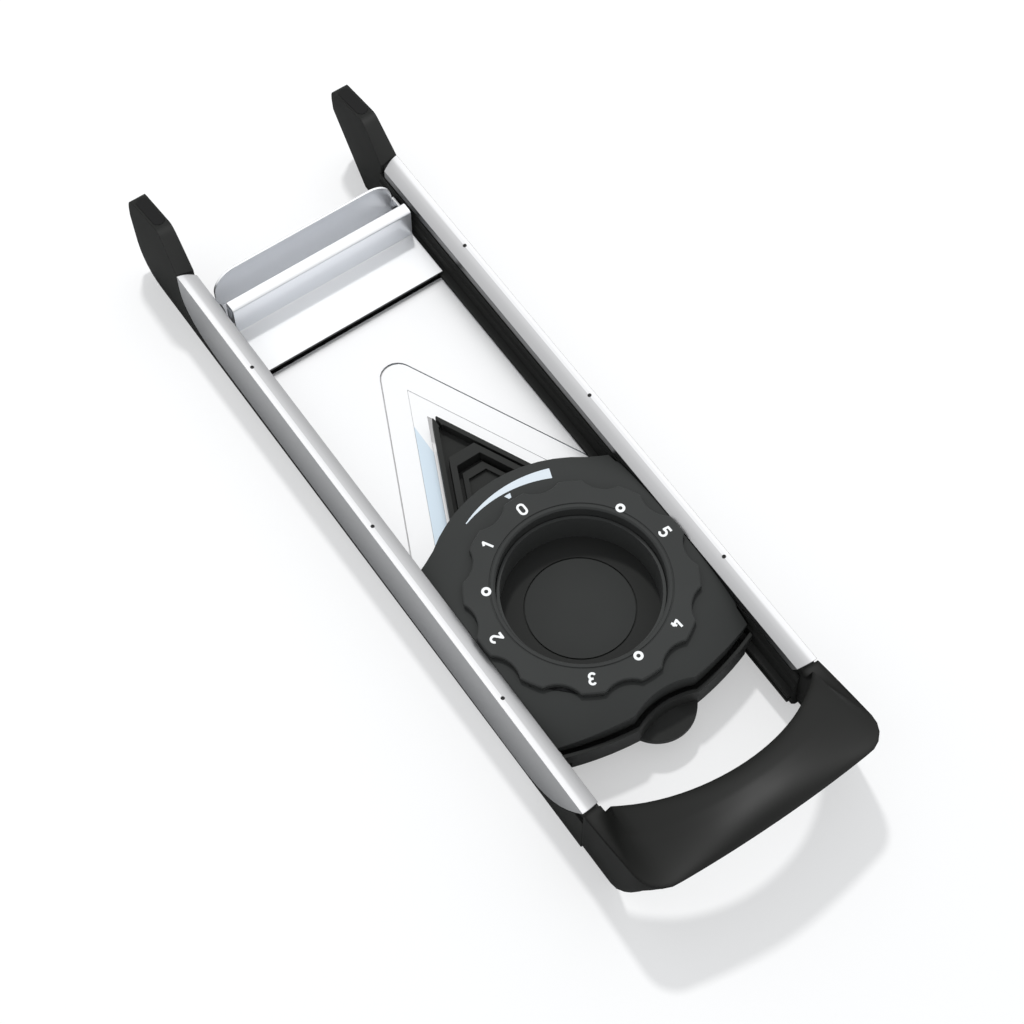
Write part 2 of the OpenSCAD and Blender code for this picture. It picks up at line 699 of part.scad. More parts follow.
module dial() color(black) at_dial() {
    difference() {
        union() {
            translate([0, 0, z_flange]) lobed_disc();
            translate([0, 0, z_sleeve]) cylinder(r = sleeve_out, h = z_flange - z_sleeve + sunk);
        }
        translate([0, 0, z_sleeve - 1]) cylinder(r = sleeve_in, h = rail_h);
        translate([0, 0, z_rim - 0.8]) cylinder(r1 = sleeve_in, r2 = sleeve_in + 1.2, h = 1.21);
        ring(sleeve_in + 2, sleeve_in + 2.7, z_rim - 0.35, z_rim + 1);
        // seat of the retaining clip
        ring(sleeve_out - clip_groove, sleeve_out + 1, clip_z - 0.02, clip_z + clip_t + 0.02);
        // click dimples, one to each lobe
        for (i = [0:lobes - 1]) rotate([0, 0, click_a + i * 360 / lobes])
            translate([click_r, 0, z_flange - 1.1]) sphere(r = dimple_r, $fn = 16);
        // female thread, run out at the sleeve's lower end
        rotate([0, 0, -pitch_lead])
            helix(sleeve_in - 1, collar_out + thread_h + run_gap, thread_w + 2 * run_gap,
                thread_z - pitch * pitch_lead / 360, thread_turn + pitch_lead + dial_turn + 8);
    }
}

module retaining_clip() color(steel) at_dial() difference() {
    ring(sleeve_out - clip_groove + snug, clip_out, clip_z, clip_z + clip_t);
    translate([-3, -clip_out - 1, clip_z - 1]) cube([6, 8, 4]);
}

// ---- ramp ----

module nose_plan(g) {
    y_n = y_nose - g / v_sin;
    blunt = 1.2;
    polygon([[-blunt, y_n - blunt / v_tan], [blunt, y_n - blunt / v_tan],
        [ramp_hw, y_n - ramp_hw / v_tan], [ramp_hw, near_y - 1],
        [-ramp_hw, near_y - 1], [-ramp_hw, y_n - ramp_hw / v_tan]]);
}

// trapezoid with sides along the V, from its broad end at y_a to y_b
module step_plan(y_a, y_b, g) {
    w_a = (y_nose - y_a) * v_tan - g;
    w_b = (y_nose - y_b) * v_tan - g;
    polygon([[-w_a, y_a], [w_a, y_a], [w_b, y_b], [-w_b, y_b]]);
}

// rim along the nose, parted at its point
module nose_rim(h) {
    translate([0, 0, z_floor - sunk]) linear_extrude(h) intersection() {
        difference() {
            nose_plan(0);
            nose_plan(rim_w);
            translate([-0.6, y_nose - 12]) square([1.2, 20]);
        }
        translate([-hw, y_nose - ramp_hw / v_tan]) square([body_w, 200]);
    }
}

// frame round a pocket, with a lower step inside it
module nose_block() {
    y_a = y_dial + house_r - 11;
    y_b = y_dial + house_r + 24.4;
    linear_extrude(7) difference() {
        step_plan(y_a, y_b, 4.6);
        step_plan(y_a - 1, y_b - 5.6, 7.8);
    }
    linear_extrude(4) difference() {
        step_plan(y_a, y_b - 8.6, 10);
        step_plan(y_a - 1, y_b - 12.6, 12.6);
    }
    linear_extrude(2.3) step_plan(y_a, y_b - 12.2, 12.4);
}

module ramp() color(black) {
    difference() {
        union() {
            intersection() {
                translate([0, 0, food_z]) linear_extrude(ramp_t) nose_plan(0);
                near_shape(0, 0, rail_h);
            }
            // low rim that runs on under the housing
            nose_rim(2.4);
            // tall rim and stepped block end at the housing's far edge
            difference() {
                union() {
                    nose_rim(rim_h);
                    translate([0, 0, z_floor - sunk]) nose_block();
                }
                at_dial() translate([0, 0, z_floor]) cylinder(r = house_r + 1.2, h = rail_h, $fn = 180);
            }
            // skirt along the near edge
            intersection() {
                difference() {
                    near_shape(0, z_floor - sunk, skirt_z);
                    near_shape(skirt_t, 0, rail_h);
                }
                union() {
                    translate([-ramp_hw, near_y - 2, 0]) cube([2 * ramp_hw, 20, rail_h]);
                    translate([-x_wall + 0.6, near_y - 2, z_ledge + ledge_run + 0.4])
                        cube([2 * x_wall - 1.2, 20, rail_h]);
                }
            }
            thumb_tab();
            for (g = guides) both_sides()
                translate([g[0], y_dial + g[1], z_floor - sunk]) cylinder(r = boss_r, h = boss_h);
        }
        for (g = guides) both_sides() translate([g[0], y_dial + g[1], z_floor])
            cylinder(r = guide_r + guide_gap, h = 12);
        at_dial() {
            translate([0, 0, z_floor - 0.8]) cylinder(r = disc_r + 0.6, h = 2);
            for (a = collar_bolts) rotate([0, 0, a])
                translate([collar_bolt_r, 0, food_z + 0.5]) cylinder(r = 0.9 + snug, h = 4);
        }
    }
}

// half-moon grip with a dished top
module thumb_tab() {
    tab_t = 3;
    difference() {
        translate([0, tab_y, food_z]) cylinder(r = tab_r, h = tab_t);
        translate([0, near_y - 2.5, food_z + tab_t + 29]) sphere(r = 30, $fn = 96);
        difference() {
            translate([-tab_r - 1, tab_y - tab_r, 0]) cube([2 * tab_r + 2, 60, rail_h]);
            translate([-tab_r, tab_y - tab_r - 2, 0]) cube([2 * tab_r, tab_r - 9, rail_h]);
            translate([0, near_y + notch_d - notch_r, 0]) cylinder(r = notch_r + 0.5, h = rail_h, $fn = 96);
        }
    }
}

module lift_collar() color(dark) at_dial() {
    difference() {
        union() {
            ring(well_r, collar_out, z_floor, collar_top);
            ring(well_r, collar_foot, z_floor, z_floor + 1.5);
            helix(collar_out - 0.6, collar_out + thread_h, thread_w, thread_z, thread_turn);
        }
        for (a = collar_bolts) rotate([0, 0, a])
            translate([collar_bolt_r, 0, 0]) cylinder(r = 1.1, h = rail_h);
    }
}

module collar_screws() color(steel) at_dial() for (a = collar_bolts) rotate([0, 0, a])
    translate([collar_bolt_r, 0, z_floor + 1.5]) mirror([0, 0, 1]) screw(0.9, 2.6, 1.8, 0.5);

module floor_disc() color(dark) at_dial() translate([0, 0, z_floor - 0.8]) cylinder(r = disc_r, h = 0.8);

left_rail();
right_rail();
handle();
left_cover();
right_cover();
cover_pins();
handle_screws();
deck_plate();
v_blade();
hook_bracket();
bracket_rivets();
housing();
housing_screws();
friction_ring();
click_spring();
click_screw();
guide_pins();
left_foot_pad();
right_foot_pad();
dial();
retaining_clip();
ramp();
lift_collar();
collar_screws();
floor_disc();
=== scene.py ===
"""Looks of the mandoline slicer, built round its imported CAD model. Lengths are in metres, +Z up."""

import math

import bpy
from mathutils import Matrix, Vector, geometry


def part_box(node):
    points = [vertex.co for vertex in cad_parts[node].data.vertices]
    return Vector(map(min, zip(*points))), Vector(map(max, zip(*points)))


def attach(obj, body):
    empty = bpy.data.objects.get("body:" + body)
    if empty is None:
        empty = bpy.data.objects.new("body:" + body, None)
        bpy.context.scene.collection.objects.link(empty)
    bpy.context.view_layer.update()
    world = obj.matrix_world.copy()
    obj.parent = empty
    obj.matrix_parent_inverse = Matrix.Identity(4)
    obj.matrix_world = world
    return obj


MM = 0.001

# The photograph's view: the point looked at, the distance, the camera's turn in degrees and its lens
LOOK_AT = Vector((12.74, -0.14, -18.70)) * MM
DISTANCE = 1053.41 * MM
AZIMUTH, ELEVATION, ROLL = -34.75, 61.65, -0.15
LENS, SENSOR = 80.98, 36.0
CLIP_END = 20

# Lamps: place, size and power. The key throws the shadows, the sheen is only seen in the satin plastics.
KEY_PLACE, KEY_SIZE, KEY_POWER = (0.45, 1.05, 2.2), 0.2, 34
SHEEN_PLACE, SHEEN_SIZE, SHEEN_POWER = (0.5, -1.1, 2.2), 1.5, 600

WHITE = (1, 1, 1)
SKY = (0.95, 0.975, 1.0)
SKY_STRENGTH = 0.72
FLOOR_COLOUR = (0.9, 0.9, 0.9)
FLOOR_GLOW = 0.45         # share of plain white in what the camera sees of the floor
FLOOR_REACH = 4
FLOOR_DROP = 0.2 * MM

# Smooth shading: corners of the tessellation closer than MERGE are one, and an edge bent by more than
# CORNER degrees stays sharp. The handle's edges are all rounded, so its angle is larger.
MERGE = 2e-6
CORNER = 32
SOFT_CORNER = 62

# Noise: cells in a metre, and the range that most of its values lie in
SPARK_GRAIN = 2200
GLOSS_CLOUD = 28
ROLLED_LINES = 900
METAL_CLOUD = 14
FINE_GRAIN = 1500
NOISE_LOW, NOISE_HIGH = 0.3, 0.7

# Stretch of the rolled lines, which run along the axis with the small number
ALONG_X = (0.03, 1, 1)
ALONG_Y = (1, 0.02, 1)
ALONG_BLADE = (1, 0.05, 1)

# Cosine of the angle between a face and its rounded edge, where an edge's tint starts and is full
TINT_START, TINT_FULL = 0.995, 0.9

# Colours of the bare metal, and of the shade and reflections painted on it
STEEL = (0.96, 0.965, 0.97)
SHEET_FACE = (0.97, 0.973, 0.978)
BLADE_FACE = (0.96, 0.965, 0.972)
# Painted reflection: a bluish tint on the left arm's ground bevel
BEVEL_PAINTED_REFLECTION = (0.68, 0.79, 0.88)
# Painted shade on the bracket's walls: grey on the flange, and on the ridge's face a grey with a bluish
# painted reflection
RIDGE_PAINTED_SHADE_AND_REFLECTION = (0.88, 0.9, 0.94)
FLANGE_PAINTED_SHADE = (0.88, 0.89, 0.91)
# Dark sharp edges of deck and blade: dull cut edges, and painted shade in the seams between them
DULL_EDGE_AND_SEAM_SHADE = (0.07, 0.07, 0.075)
HOOK_RIM = (0.1, 0.1, 0.105)
COVER_RIM = (0.16, 0.16, 0.165)
# Painted shade: near black on the front edge of the bracket's plate
FRONT_EDGE_PAINTED_SHADE = (0.015, 0.015, 0.016)
# Painted shade: near black on the deck where the bracket's plate lies over it
PAINTED_SHADE_UNDER_BRACKET = (0.012, 0.012, 0.013)

# Anodised cover, painted highlight and shade by the lean of a face, from 0 for inward over 0.5 for level to
# 1 for outward: a painted highlight on level faces, painted shade on faces leaning inward and on the side
# panel
ALUMINIUM = (0.6, 0.6, 0.61)
COVER_PAINTED_LIGHT_GREYS = (
    (0.0, 0.12), (0.2, 0.48), (0.3, 0.55), (0.38, 0.66), (0.44, 0.95), (0.5, 1.0), (0.6, 0.4), (1.0, 0.3),
)
COVER_TINT = (1, 1.005, 1.02)

# The bracket's plate reflects little, its walls more
PLATE_METALLIC, WALL_METALLIC = 0.2, 0.65

UPRIGHT = 0.5             # a face whose normal's z is below this is a wall
BEVEL_LEAN = 0.02         # the left bevel's normal leans to +X by more than this

# Marks on the dial: angle from +Y, counter-clockwise seen from above, and the number or "o" for a half step
MARKS = (
    (0, "0"), (30, "1"), (60, "o"), (90, "2"), (150, "3"), (180, "o"), (210, "4"), (270, "5"), (300, "o"),
)
NUMBER_RADIUS = 43.9
RING_RADIUS = 40.5
RING_SIZE = 4.3
RING_WIDTH = 1.25
RING_SIDES = 32

# Strokes of the digits in mm about a digit's middle: points (x, y) and arcs (x, y, radius, start, end)
STROKE = 1.05
DIGITS = {
    "0": (((0, 1.0, 1.47, 0, 180), (0, -1.0, 1.47, 180, 360), (1.47, 1.0)),),
    "1": (((-1.1, 1.35), (0.35, 2.45), (0.35, -2.45)),),
    "2": (((0, 1.0, 1.45, 165, -35), (-1.4, -2.45), (1.5, -2.45)),),
    "3": (((-0.1, 1.22, 1.25, 150, -90), (-0.55, -0.03)), ((-0.1, -1.2, 1.27, 90, -150),)),
    "4": (((0.15, 2.45), (-1.5, -1.05), (1.7, -1.05)), ((0.75, 0.3), (0.75, -2.45))),
    "5": (((1.35, 2.45), (-1.05, 2.45), (-1.25, 0.35), (-0.1, -0.95, 1.5, 120, -145)),),
}
ARC_STEP = 15             # degrees
JOINT_SIDES = 12
TINY = 1e-4               # mm

# The pointer and the growing wedge beside the dial: (radius, angle) of corners, and the wedge's
# angle, inner radius and outer radius at its tip and at its thick end
POINTER = ((52.9, -0.75), (52.9, 0.75), (55.3, 1.6), (55.3, -1.6))
WEDGE_ANGLES = (22.5, -22.3)
WEDGE_INNER = (58.2, 54.9)
WEDGE_OUTER = (58.7, 60.9)
WEDGE_CELLS = (48, 6)

PRINT = 0.05              # mm from a surface to the print on it
PROBE_HEIGHT = 50 * MM    # above the dial, where the search for the housing's top starts


# ---- node trees ----

# Numbers of the sockets that a Mix node uses for colours; it has several of each name
MIX_MASK, MIX_UNDER, MIX_OVER = 0, 6, 7
MIX_RESULT = 2


class Tree:
    """A node tree. An input takes a number, a colour, a node's main output, or a pair (node, output)."""

    def __init__(self, tree):
        self.tree = tree

    def add(self, kind, inputs=None, **settings):
        node = self.tree.nodes.new(kind)
        for key, value in settings.items():
            setattr(node, key, value)
        for socket, value in (inputs or {}).items():
            self.feed(node, socket, value)
        return node

    def feed(self, node, socket, value):
        """Set or link one input of a node."""
        target = node.inputs[socket]
        if isinstance(value, bpy.types.Node):
            value = (value, MIX_RESULT if value.bl_idname == "ShaderNodeMix" else 0)
        if isinstance(value, tuple) and isinstance(value[0], bpy.types.Node):
            source, output = value
            self.tree.links.new(source.outputs[output], target)
        elif target.type == "RGBA":
            target.default_value = (*value, 1)
        else:
            target.default_value = value

    def math(self, operation, *values):
        return self.add("ShaderNodeMath", dict(enumerate(values)), operation=operation)


class Paint(Tree):
    """A Principled material, with short calls that add its procedural detail."""

    def __init__(self, name, colour, roughness, **sockets):
        self.material = bpy.data.materials.new(name)
        self.material.use_nodes = True
        self.material.diffuse_color = (*colour, 1)
        super().__init__(self.material.node_tree)
        self.shader = self.tree.nodes["Principled BSDF"]
        self.feed(self.shader, "Base Color", colour)
        self.feed(self.shader, "Roughness", roughness)
        for key, value in sockets.items():
            self.feed(self.shader, key.replace("_", " "), value)

    def noise(self, scale, detail=2.0, stretch=(1, 1, 1)):
        place = self.add("ShaderNodeTexCoord")
        mapping = self.add("ShaderNodeMapping", {"Vector": (place, "Object"), "Scale": stretch})
        return self.add("ShaderNodeTexNoise", {"Vector": mapping, "Scale": scale, "Detail": detail})

    def axis(self, kind, name):
        """One axis of the object's "Object" place or "Normal"."""
        place = self.add("ShaderNodeTexCoord")
        return (self.add("ShaderNodeSeparateXYZ", {"Vector": (place, kind)}), name)

    def ramp(self, value, stops):
        node = self.add("ShaderNodeValToRGB", {"Fac": value})
        elements = node.color_ramp.elements
        while len(elements) < len(stops):
            elements.new(0.5)
        for element, (position, colour) in zip(elements, stops):
            element.position = position
            element.color = (*colour, 1)
        return node

    def noise_ramp(self, texture, low, high):
        """Colour that runs from low to high over the range of a noise."""
        return self.ramp(texture, ((NOISE_LOW, low), (NOISE_HIGH, high)))

    def vary_roughness(self, texture, low, high):
        limits = {"From Min": NOISE_LOW, "From Max": NOISE_HIGH, "To Min": low, "To Max": high}
        self.feed(self.shader, "Roughness", self.add("ShaderNodeMapRange", {"Value": texture, **limits}))

    def edge_mask(self, radius):
        """1 on a sharp edge, falling to 0 at about the radius from it."""
        rounded = self.add("ShaderNodeBevel", {"Radius": radius}, samples=6)
        face = self.add("ShaderNodeNewGeometry")
        bend = self.add("ShaderNodeVectorMath", {0: rounded, 1: (face, "Normal")}, operation="DOT_PRODUCT")
        limits = {"From Min": TINT_START, "From Max": TINT_FULL}
        return self.add("ShaderNodeMapRange", {"Value": (bend, "Value"), **limits})

    def mix_colour(self, mask, under, over, blend="MIX"):
        """Colour node: over on under by a mask."""
        sockets = {MIX_MASK: mask, MIX_UNDER: under, MIX_OVER: over}
        return self.add("ShaderNodeMix", sockets, data_type="RGBA", blend_type=blend)

    def relief(self, texture, strength, depth, edge):
        """Bump from a texture on top of edges rounded to the radius edge."""
        rounded = self.add("ShaderNodeBevel", {"Radius": edge}, samples=4)
        heights = {"Strength": strength, "Distance": depth, "Height": texture}
        self.feed(self.shader, "Normal", self.add("ShaderNodeBump", {**heights, "Normal": rounded}))


class Metal(Paint):
    """Rolled sheet with fine lines and a faint cloud."""

    def __init__(self, name, colour, roughness, stretch, edge, relief, metallic=0.65, spread=0.013):
        super().__init__(name, colour, roughness, Metallic=metallic)
        lines = self.noise(ROLLED_LINES, stretch=stretch)
        self.relief(lines, strength=relief, depth=0.02 * MM, edge=edge)
        self.vary_roughness(lines, roughness - spread, roughness + spread)
        self.cloud = self.noise_ramp(self.noise(METAL_CLOUD), (0.98, 0.98, 0.98), WHITE)

    def clouded(self, colour):
        return self.mix_colour(1.0, colour, self.cloud, "MULTIPLY")

    def finish(self, body, rim, radius):
        """Paint the body's colour, and the rim's within a radius of the edges."""
        self.feed(self.shader, "Base Color", self.mix_colour(self.edge_mask(radius), body, rim))
        return self.material


# ---- materials ----


def plastic(name, colour, roughness, edge, shine):
    """Moulded black plastic: fine spark texture, slow change in gloss, rounded edges."""
    paint = Paint(name, colour, roughness, Specular_IOR_Level=shine)
    paint.relief(paint.noise(SPARK_GRAIN, detail=3), strength=0.12, depth=0.05 * MM, edge=edge)
    cloud = paint.noise(GLOSS_CLOUD)
    paint.vary_roughness(cloud, roughness - 0.04, roughness + 0.05)
    low, high = (tuple(c * share for c in colour) for share in (0.94, 1.07))
    paint.feed(paint.shader, "Base Color", paint.noise_ramp(cloud, low, high))
    return paint.material


def plain(name, colour, roughness, **sockets):
    """One colour with a fine grain and slightly rounded edges."""
    paint = Paint(name, colour, roughness, **sockets)
    paint.relief(paint.noise(FINE_GRAIN), strength=0.05, depth=0.02 * MM, edge=0.15 * MM)
    return paint.material


def deck_metal(covered):
    """Deck: bright, with dark sharp edges (dull cut edges, and painted shade in the seams), and painted
    shade where the bracket covers it, at y above covered.
    """
    paint = Metal("sheet_steel", STEEL, 0.34, ALONG_X, edge=0.05 * MM, relief=0.008)
    # Painted shade: the deck goes near black under the bracket.
    under_bracket_shade = paint.math("GREATER_THAN", paint.axis("Object", "Y"), covered)
    body = paint.mix_colour(under_bracket_shade, paint.clouded(SHEET_FACE), PAINTED_SHADE_UNDER_BRACKET)
    return paint.finish(body, DULL_EDGE_AND_SEAM_SHADE, radius=0.36 * MM)


def cover_metal():
    """Anodised cover with painted light by the lean of a face: painted shade on the side panel, a painted
    highlight on the outer shoulder, softer painted shade towards the inner edge.
    """
    paint = Metal("cover_aluminium", ALUMINIUM, 0.36, ALONG_Y, edge=0.3 * MM, relief=0.03, metallic=0.9)
    side = paint.math("SIGN", paint.axis("Object", "X"))
    outward = paint.math("MULTIPLY", side, paint.axis("Normal", "X"))
    lean = paint.math("MULTIPLY_ADD", outward, 0.5, 0.5)
    # The ramp paints highlight and shade into the colour by the lean of each face.
    painted_shading = paint.ramp(lean, [(stop, tuple(grey * c for c in COVER_TINT)) for stop, grey in COVER_PAINTED_LIGHT_GREYS])
    return paint.finish(paint.clouded(painted_shading), COVER_RIM, radius=0.3 * MM)


def hook_metal(front, flange):
    """Bent sheet: white plate, more mirroring walls painted grey as shade (with a bluish painted reflection
    on the ridge's), and painted dark shade on the edge at y below front.

    The wall at y above flange is the hook's, the other is the ridge's.
    """
    paint = Metal("hook_steel", STEEL, 0.28, ALONG_X, edge=0.05 * MM, relief=0.0012, spread=0.005)
    y = paint.axis("Object", "Y")
    upright = paint.math("LESS_THAN", paint.axis("Normal", "Z"), UPRIGHT)
    more = paint.math("MULTIPLY", upright, WALL_METALLIC - PLATE_METALLIC)
    paint.feed(paint.shader, "Metallic", paint.math("ADD", more, PLATE_METALLIC))
    # Painted shade on the walls, with a painted reflection on the ridge's
    wall = paint.mix_colour(paint.math("GREATER_THAN", y, flange), RIDGE_PAINTED_SHADE_AND_REFLECTION, FLANGE_PAINTED_SHADE)
    body = paint.mix_colour(upright, paint.clouded(SHEET_FACE), wall)
    # Painted shade: the plate's front edge goes near black
    edge = paint.math("MULTIPLY", upright, paint.math("LESS_THAN", y, front))
    return paint.finish(paint.mix_colour(edge, body, FRONT_EDGE_PAINTED_SHADE), HOOK_RIM, radius=0.25 * MM)


def blade_metal():
    """Blade: bright flat, ground bevel with a bluish painted reflection on the left arm, dark sharp edges
    (dull cut edges, and painted shade in the seams).
    """
    paint = Metal("blade_steel", STEEL, 0.3, ALONG_BLADE, edge=0.03 * MM, relief=0.008)
    # Painted reflection: the bevel faces that lean to +X take a bluish tint.
    left = paint.math("GREATER_THAN", paint.axis("Normal", "X"), BEVEL_LEAN)
    body = paint.mix_colour(left, paint.clouded(BLADE_FACE), BEVEL_PAINTED_REFLECTION)
    return paint.finish(body, DULL_EDGE_AND_SEAM_SHADE, radius=0.3 * MM)


def make_materials():
    """All materials by key. A plastic takes its name, colour, roughness, rounding of edges and shine."""
    hook_low, hook_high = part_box("hook_bracket")
    return {
        "rail": plastic("black_plastic", (0.0175, 0.018, 0.017), 0.7, 0.5 * MM, 0.04),
        "handle": plastic("grip_plastic", (0.0056, 0.0059, 0.0052), 0.68, 2.5 * MM, 0.07),
        "housing": plastic("housing_plastic", (0.034, 0.0355, 0.0345), 0.55, 0.6 * MM, 0.16),
        "dial": plastic("dial_plastic", (0.039, 0.0405, 0.0395), 0.55, 0.5 * MM, 0.16),
        "ramp": plastic("ramp_plastic", (0.025, 0.0257, 0.0246), 0.5, 0.4 * MM, 0.16),
        # The collar, the wall of the dial's well, is a lighter plastic than the dial: painted light against
        # the shade in the well
        "collar": plastic("collar_plastic_painted_light", (0.055, 0.057, 0.0555), 0.55, 0.3 * MM, 0.16),
        "disc": plastic("disc_plastic", (0.037, 0.0385, 0.0372), 0.55, 0.3 * MM, 0.16),
        "cover": cover_metal(),
        "sheet": deck_metal(hook_low[1] - 0.2 * MM),
        "hook": hook_metal(hook_low[1] + 0.6 * MM, hook_high[1] - 4 * MM),
        "blade": blade_metal(),
        "dark": plain("dark_steel", (0.008, 0.008, 0.008), 0.6),
        "spring": plain("spring_steel", (0.03, 0.03, 0.032), 0.5, Metallic=0.6),
        "screw": plain("screw_steel", (0.5, 0.5, 0.52), 0.35, Metallic=1.0),
        "nylon": plain("white_nylon", (0.75, 0.74, 0.7), 0.5),
        "rubber": plain("pad_rubber", (0.012, 0.012, 0.012), 0.8, Specular_IOR_Level=0.15),
        "print": plain("white_print", (0.86, 0.87, 0.87), 0.5),
        "wedge": plain("wedge_print", (0.62, 0.68, 0.73), 0.45),
    }


NODE_PAINT = {
    "rail": ("left_rail", "right_rail"),
    "handle": ("handle",),
    "housing": ("housing",),
    "dial": ("dial",),
    "ramp": ("ramp",),
    "collar": ("lift_collar",),
    "disc": ("floor_disc",),
    "cover": ("left_cover", "right_cover"),
    "sheet": ("deck_plate",),
    "hook": ("hook_bracket",),
    "blade": ("v_blade",),
    "dark": ("cover_pins", "bracket_rivets"),
    "screw": ("handle_screws", "housing_screws", "guide_pins", "collar_screws"),
    "spring": ("click_spring", "click_screw", "retaining_clip"),
    "nylon": ("friction_ring",),
    "rubber": ("left_foot_pad", "right_foot_pad"),
}


def paint_nodes(nodes, materials):
    for key, names in NODE_PAINT.items():
        for name in names:
            mesh = nodes[name].data
            mesh.materials.clear()
            mesh.materials.append(materials[key])


# ---- shading of the CAD nodes ----


def smooth_group(corner):
    """Node group that joins a tessellation's split corners and smooths every edge below a corner's angle."""
    group = bpy.data.node_groups.new("smooth_shading", "GeometryNodeTree")
    for side in ("INPUT", "OUTPUT"):
        group.interface.new_socket("Geometry", in_out=side, socket_type="NodeSocketGeometry")
    tree = Tree(group)
    limits = {0: tree.add("GeometryNodeInputMeshEdgeAngle"), 1: math.radians(corner)}
    sharp = tree.add("FunctionNodeCompare", limits, data_type="FLOAT", operation="GREATER_THAN")
    chain = (
        tree.add("NodeGroupInput"),
        tree.add("GeometryNodeRemoveAttribute", {"Name": "custom_normal"}),
        tree.add("GeometryNodeMergeByDistance", {"Distance": MERGE}),
        tree.add("GeometryNodeSetShadeSmooth"),
        tree.add("GeometryNodeSetShadeSmooth", domain="EDGE"),
        tree.add("GeometryNodeSetShadeSmooth", {"Selection": sharp, "Shade Smooth": False}, domain="EDGE"),
        tree.add("NodeGroupOutput"),
    )
    for before, after in zip(chain, chain[1:]):
        tree.feed(after, 0, before)
    return group


def smooth_nodes(nodes):
    """Smooth shading on every node; the covers' crown keeps its even normals."""
    crisp, soft = smooth_group(CORNER), smooth_group(SOFT_CORNER)
    for name, node in nodes.items():
        shading = node.modifiers.new("smooth", "NODES")
        shading.node_group = soft if name == "handle" else crisp
        if name not in NODE_PAINT["cover"]:
            weight = node.modifiers.new("weight", "WEIGHTED_NORMAL")
            weight.keep_sharp = True


# ---- printed marks ----


def link_object(thing):
    bpy.context.scene.collection.objects.link(thing)


def new_piece(name, mesh, material, body):
    piece = bpy.data.objects.new(name, mesh)
    link_object(piece)
    mesh.materials.append(material)
    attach(piece, body)
    return piece


def flat_mesh(name, points, faces):
    mesh = bpy.data.meshes.new(name)
    mesh.from_pydata(points, [], faces)
    mesh.update()
    return mesh


def around(radius, angle):
    """Point at a radius and an angle from +Y, counter-clockwise seen from above."""
    turn = math.radians(angle)
    return Vector((-math.sin(turn), math.cos(turn))) * radius


def ngon(centre, radius, count):
    turns = (i * math.tau / count for i in range(count))
    return [centre + Vector((math.cos(turn), math.sin(turn))) * radius for turn in turns]


def between(ends, share):
    return ends[0] + (ends[1] - ends[0]) * share


def stroke_points(parts):
    """Points along one stroke of a digit, its arcs cut into steps."""
    points = []
    for part in parts:
        if len(part) == 2:
            points.append(Vector(part))
            continue
        x, y, radius, start, end = part
        steps = max(2, round(abs(end - start) / ARC_STEP))
        for i in range(steps + 1):
            turn = math.radians(start + (end - start) * i / steps)
            points.append(Vector((x + radius * math.cos(turn), y + radius * math.sin(turn))))
    return points


def joined(name, shapes, place):
    """One flat mesh from overlapping outlines in mm, each point then put in place."""
    points, faces = [], []
    for shape in shapes:
        faces.append(list(range(len(points), len(points) + len(shape))))
        points += shape
    points, _, faces, _, _, origins = geometry.delaunay_2d_cdt(points, [], faces, 1, TINY)
    kept = [face for face, origin in zip(faces, origins) if origin]
    used = sorted({i for face in kept for i in face})
    index = {old: new for new, old in enumerate(used)}
    return flat_mesh(name, [place(points[i]) for i in used], [[index[i] for i in face] for face in kept])


def digit_shapes(digit):
    """Outlines that together make a digit: a bar for each step of a stroke, and a disc at each joint."""
    shapes = []
    for parts in DIGITS[digit]:
        points = stroke_points(parts)
        for first, second in zip(points, points[1:]):
            step = second - first
            if step.length < TINY:
                continue
            side = Vector((-step.y, step.x)).normalized() * STROKE / 2
            shapes.append([first - side, second - side, second + side, first + side])
        shapes += [ngon(point, STROKE / 2, JOINT_SIDES) for point in points[1:-1]]
    return shapes


def ring_mesh(name, place):
    """The ring of a half step: a band between two circles."""
    points = []
    for radius in (RING_SIZE / 2, RING_SIZE / 2 - RING_WIDTH):
        points += ngon(Vector((0, 0)), radius, RING_SIDES)
    faces = []
    for i in range(RING_SIDES):
        after = (i + 1) % RING_SIDES
        faces.append((i, after, after + RING_SIDES, i + RING_SIDES))
    return flat_mesh(name, [place(point) for point in points], faces)


def print_dial(materials):
    low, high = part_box("dial")
    centre = Vector(((low[0] + high[0]) / 2, (low[1] + high[1]) / 2))

    for angle, mark in MARKS:
        name = f"mark_{angle}"
        turn = Matrix.Rotation(math.radians(angle), 2)
        middle = around(RING_RADIUS if mark == "o" else NUMBER_RADIUS, angle)

        def place(point):
            spot = centre + (turn @ point + middle) * MM
            return (spot.x, spot.y, high[2] + PRINT * MM)

        mesh = ring_mesh(name, place) if mark == "o" else joined(name, digit_shapes(mark), place)
        new_piece(name, mesh, materials["print"], "dial")


